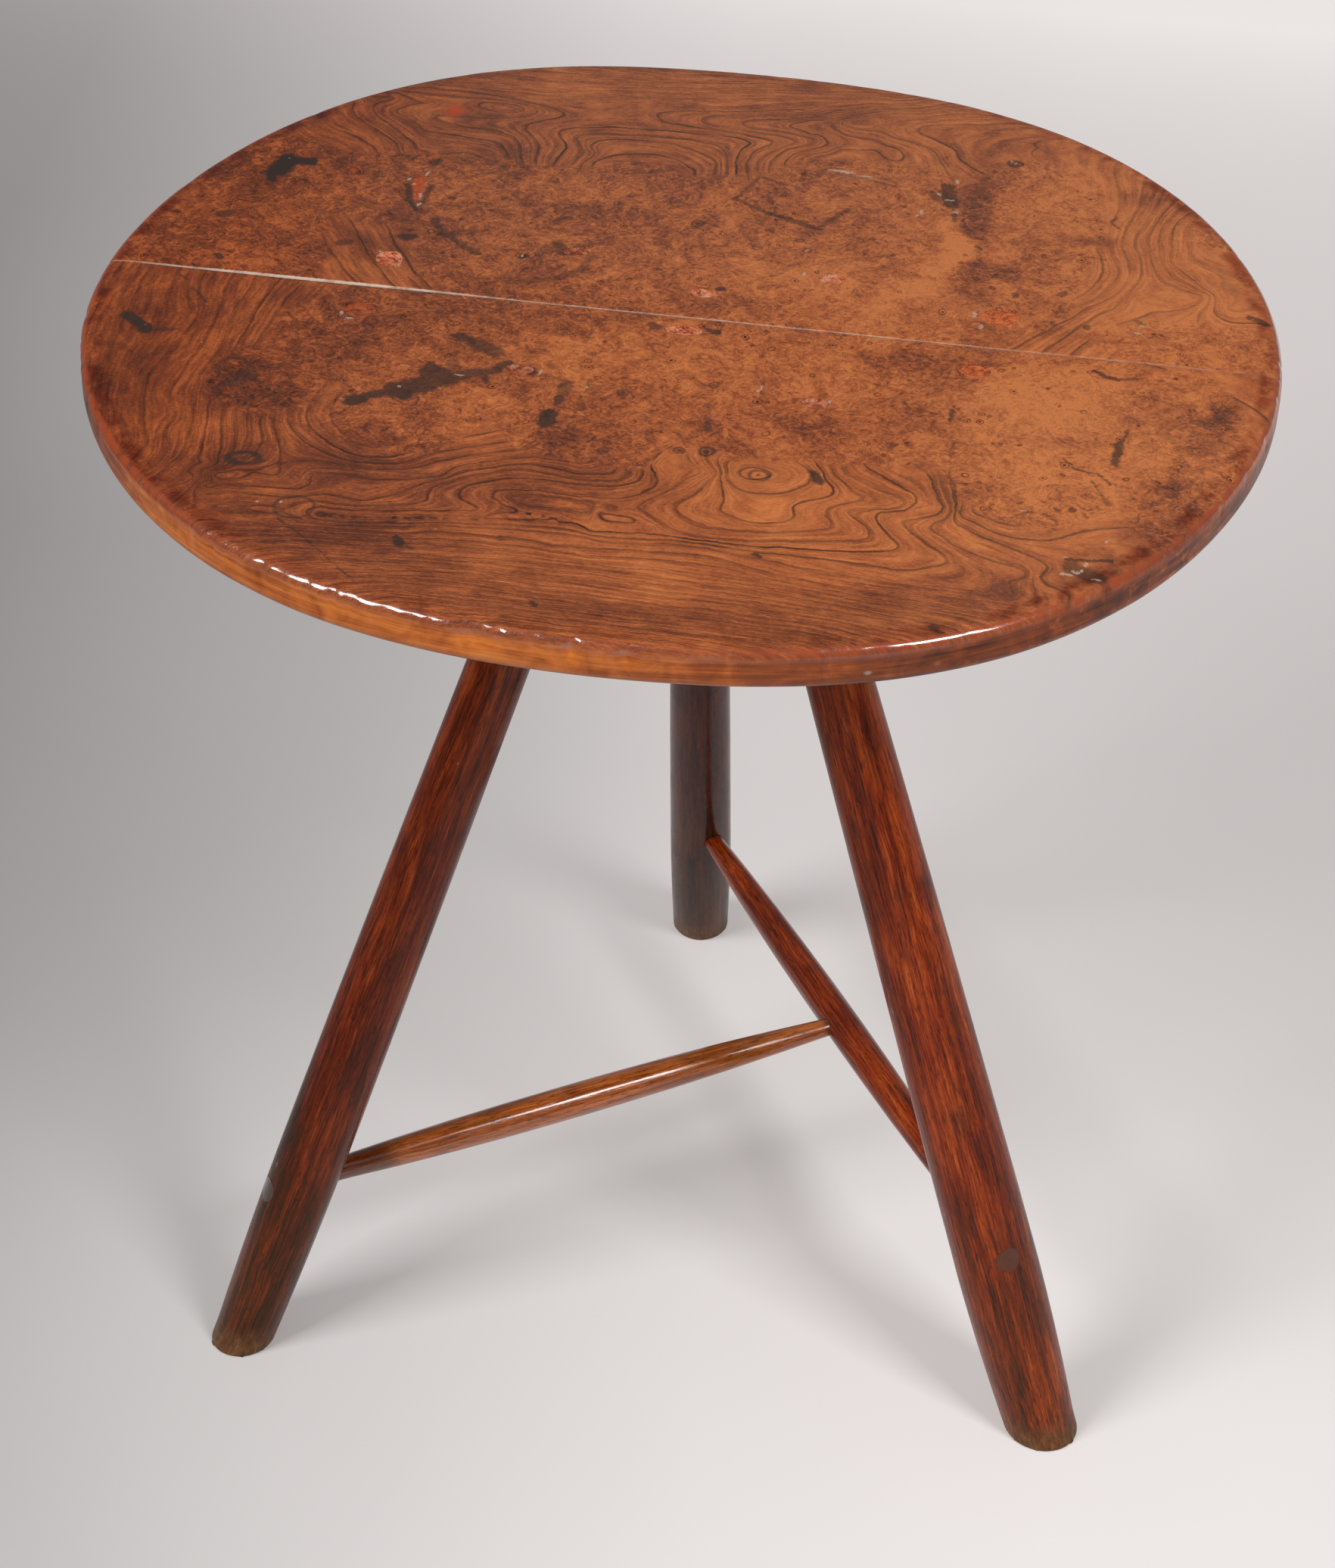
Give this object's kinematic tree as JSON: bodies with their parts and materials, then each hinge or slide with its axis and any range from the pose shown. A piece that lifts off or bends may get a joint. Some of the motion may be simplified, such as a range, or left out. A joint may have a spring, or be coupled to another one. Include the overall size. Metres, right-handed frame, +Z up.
{
  "type": "cricket table",
  "caption": "Rustic cricket table: an oval jointed-board top on splayed round legs that swell towards the foot, tied by a T of round stretchers.",
  "frame": {"origin": "on the floor, under the middle of the table's extents", "axes": "+X along the joint of the top's boards, +Y towards the back leg, +Z up"},
  "size_m": [0.618, 0.5876, 0.66],
  "materials": {
    "elm_top": "waxed orange-brown burr elm with dark mottling, worn paler at the edge",
    "leg_wood": "dark red-brown stained wood with long dark streaks, waxed",
    "block_wood": "dry unpolished brown wood",
    "wedge_wood": "dry split hardwood",
    "hole_filler": "reddish hard wax, rubbed level",
    "screw_iron": "dull steel, slightly rusted"
  },
  "bodies": {
    "root": {"top_board_front": "elm_top", "top_board_rear": "elm_top", "leg_block": "block_wood", "leg_left": "leg_wood", "leg_right": "leg_wood", "leg_back": "leg_wood", "leg_wedge_left": "wedge_wood", "leg_wedge_right": "wedge_wood", "leg_wedge_back": "wedge_wood", "stretcher_long": "leg_wood", "stretcher_short": "leg_wood", "filler_left_rear": "hole_filler", "filler_left_front": "hole_filler", "filler_mid_left_rear": "hole_filler", "filler_mid_left_front": "hole_filler", "filler_mid_right_rear": "hole_filler", "filler_mid_right_front": "hole_filler", "filler_right_rear": "hole_filler", "filler_right_front": "hole_filler", "filler_centre_rear": "hole_filler", "filler_centre_front": "hole_filler", "screw_left_rear": "screw_iron", "screw_left_front": "screw_iron", "screw_mid_left_rear": "screw_iron", "screw_mid_left_front": "screw_iron", "screw_mid_right_rear": "screw_iron", "screw_mid_right_front": "screw_iron", "screw_right_rear": "screw_iron", "screw_right_front": "screw_iron", "screw_centre_rear": "screw_iron", "screw_centre_front": "screw_iron"}
  },
  "joints": []
}
